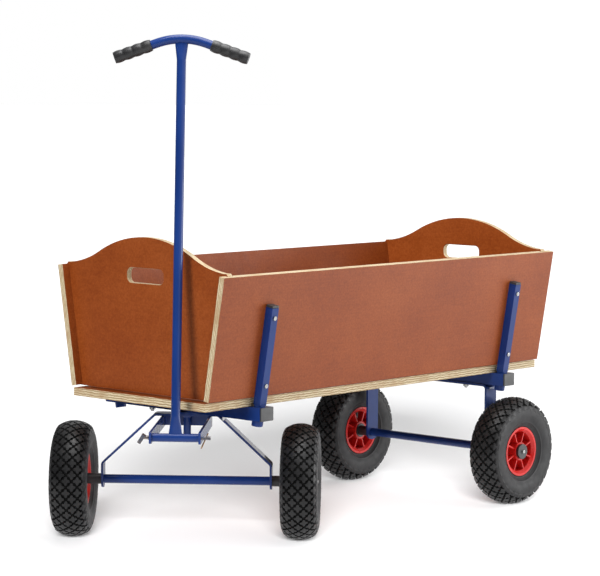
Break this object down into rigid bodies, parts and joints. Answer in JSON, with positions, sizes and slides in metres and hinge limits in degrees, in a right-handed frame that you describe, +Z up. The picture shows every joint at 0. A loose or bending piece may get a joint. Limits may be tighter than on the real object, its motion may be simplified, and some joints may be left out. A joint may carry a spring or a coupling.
{
  "type": "hand wagon",
  "caption": "Hand wagon: plywood box with lift-out panels on a steel underframe, steered front bogie, hinged drawbar with T handle, pneumatic wheels.",
  "frame": {"origin": "on the ground under the middle of the whole wagon as it stands, bogie steered to the left and drawbar upright", "axes": "+Z up, +Y to the rear of the wagon (front towards -Y), +X to the wagon's left side"},
  "size_m": [0.5996, 1.2962, 1.1186],
  "materials": {
    "film_plywood": "phenolic-film-faced birch plywood, satin reddish brown, pale bare edges",
    "blue_paint": "gloss blue powder coat",
    "zinc_steel": "bright zinc-plated steel",
    "black_plastic": "satin black moulded plastic",
    "grip_rubber": "matt black soft rubber",
    "tyre_rubber": "dark grey-black tyre rubber",
    "tube_rubber": "black butyl rubber",
    "red_plastic": "glossy red moulded plastic",
    "nylon": "black nylon"
  },
  "bodies": {
    "chassis": {"deck": "film_plywood", "front_beam": "blue_paint", "rear_beam": "blue_paint", "beam_end_caps": "black_plastic", "stake_sockets": "blue_paint", "deck_bolts": "zinc_steel", "deck_nuts": "zinc_steel", "rear_axle_frame": "blue_paint", "rear_axle": "blue_paint", "rear_axle_spacers": "black_plastic", "rear_hub_caps": "black_plastic", "rear_axle_screws": "zinc_steel", "king_bolt": "zinc_steel", "king_nut": "zinc_steel"},
    "bogie": {"turntable_ring": "blue_paint", "front_axle_frame": "blue_paint", "front_axle": "blue_paint", "front_axle_spacers": "black_plastic", "front_hub_caps": "black_plastic", "front_axle_screws": "zinc_steel", "king_sleeve": "blue_paint", "drawbar_fork": "blue_paint", "drawbar_pin": "zinc_steel", "pin_clip": "zinc_steel"},
    "drawbar": {"drawbar_hinge_tube": "blue_paint", "drawbar_tube": "blue_paint", "handlebar": "blue_paint", "left_grip": "grip_rubber", "right_grip": "grip_rubber"},
    "left_side": {"left_side_panel": "film_plywood", "left_stakes": "blue_paint", "left_stake_spigots": "blue_paint", "left_stake_caps": "black_plastic", "left_stake_bolts": "zinc_steel", "left_stake_nuts": "zinc_steel"},
    "right_side": {"right_side_panel": "film_plywood", "right_stakes": "blue_paint", "right_stake_spigots": "blue_paint", "right_stake_caps": "black_plastic", "right_stake_bolts": "zinc_steel", "right_stake_nuts": "zinc_steel"},
    "front_end": {"front_board": "film_plywood"},
    "rear_end": {"rear_board": "film_plywood"},
    "front_left_wheel": {"front_left_tyre": "tyre_rubber", "front_left_inner_tube": "tube_rubber", "front_left_rim": "red_plastic", "front_left_bushes": "nylon"},
    "front_right_wheel": {"front_right_tyre": "tyre_rubber", "front_right_inner_tube": "tube_rubber", "front_right_rim": "red_plastic", "front_right_bushes": "nylon"},
    "rear_left_wheel": {"rear_left_tyre": "tyre_rubber", "rear_left_inner_tube": "tube_rubber", "rear_left_rim": "red_plastic", "rear_left_bushes": "nylon"},
    "rear_right_wheel": {"rear_right_tyre": "tyre_rubber", "rear_right_inner_tube": "tube_rubber", "rear_right_rim": "red_plastic", "rear_right_bushes": "nylon"}
  },
  "joints": [
    {"name": "steer", "type": "hinge", "parent": "chassis", "child": "bogie", "pos_m": [0, -0.3735, 0.2435], "axis": [0, 0, 1], "range_deg": [-79, 1]},
    {"name": "drawbar_tilt", "type": "hinge", "parent": "bogie", "child": "drawbar", "pos_m": [0.16526, -0.57758, 0.2635], "axis": [0.7771, 0.6293, 0], "range_deg": [0, 114]},
    {"name": "left_side_lift", "type": "slide", "parent": "chassis", "child": "left_side", "axis": [0.165, 0, 0.9863], "range_m": [0, 0.05]},
    {"name": "right_side_lift", "type": "slide", "parent": "chassis", "child": "right_side", "axis": [-0.165, 0, 0.9863], "range_m": [0, 0.05]},
    {"name": "front_board_lift", "type": "slide", "parent": "chassis", "child": "front_end", "axis": [0, 0, 1], "range_m": [0, 0.15]},
    {"name": "rear_board_lift", "type": "slide", "parent": "chassis", "child": "rear_end", "axis": [0, 0, 1], "range_m": [0, 0.27]},
    {"name": "front_left_spin", "type": "hinge", "parent": "bogie", "child": "front_left_wheel", "pos_m": [0.19778, -0.21334, 0.13], "axis": [0.7771, 0.6293, 0], "continuous": true},
    {"name": "front_right_spin", "type": "hinge", "parent": "bogie", "child": "front_right_wheel", "pos_m": [-0.19778, -0.53366, 0.13], "axis": [0.7771, 0.6293, 0], "continuous": true},
    {"name": "rear_left_spin", "type": "hinge", "parent": "chassis", "child": "rear_left_wheel", "pos_m": [0.2545, 0.4895, 0.13], "axis": [1, 0, 0], "continuous": true},
    {"name": "rear_right_spin", "type": "hinge", "parent": "chassis", "child": "rear_right_wheel", "pos_m": [-0.2545, 0.4895, 0.13], "axis": [1, 0, 0], "continuous": true}
  ]
}
